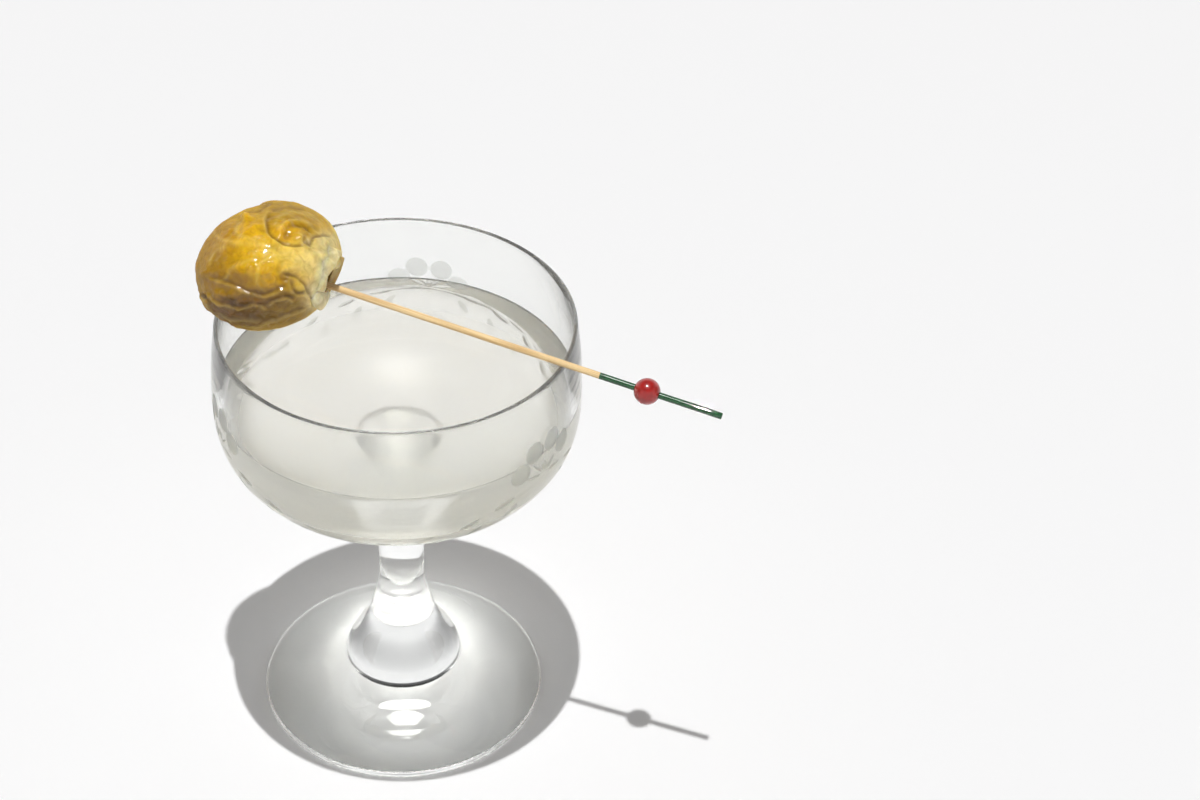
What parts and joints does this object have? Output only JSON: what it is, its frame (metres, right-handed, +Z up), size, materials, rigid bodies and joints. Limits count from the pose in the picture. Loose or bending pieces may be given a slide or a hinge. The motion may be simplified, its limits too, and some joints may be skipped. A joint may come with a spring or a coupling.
{
  "type": "martini cocktail",
  "caption": "Pale martini in a stemmed coupe glass, garnished with a pickled sprout on a bamboo pick with a painted wooden bead, laid across the rim.",
  "frame": {"origin": "centre of the foot's flat underside, where the glass stands on the table", "axes": "+Z up along the stem and bowl axis, -Y towards the drinker, +X to the right, the side the bead end of the pick points to"},
  "size_m": [0.1277, 0.0944, 0.1525],
  "materials": {
    "glass": "clear soda glass, polished, with wheel-cut flowers left matt",
    "drink": "pale, slightly cloudy spirit with a flat still surface",
    "sprout": "wet, waxy, translucent pickled leaves",
    "pick": "smooth dry bamboo, outer end painted gloss green",
    "bead": "turned wood, gloss red paint"
  },
  "bodies": {
    "root": {"glass": "glass", "drink": "drink", "sprout": "sprout", "pick": "pick", "bead": "bead"}
  },
  "joints": []
}
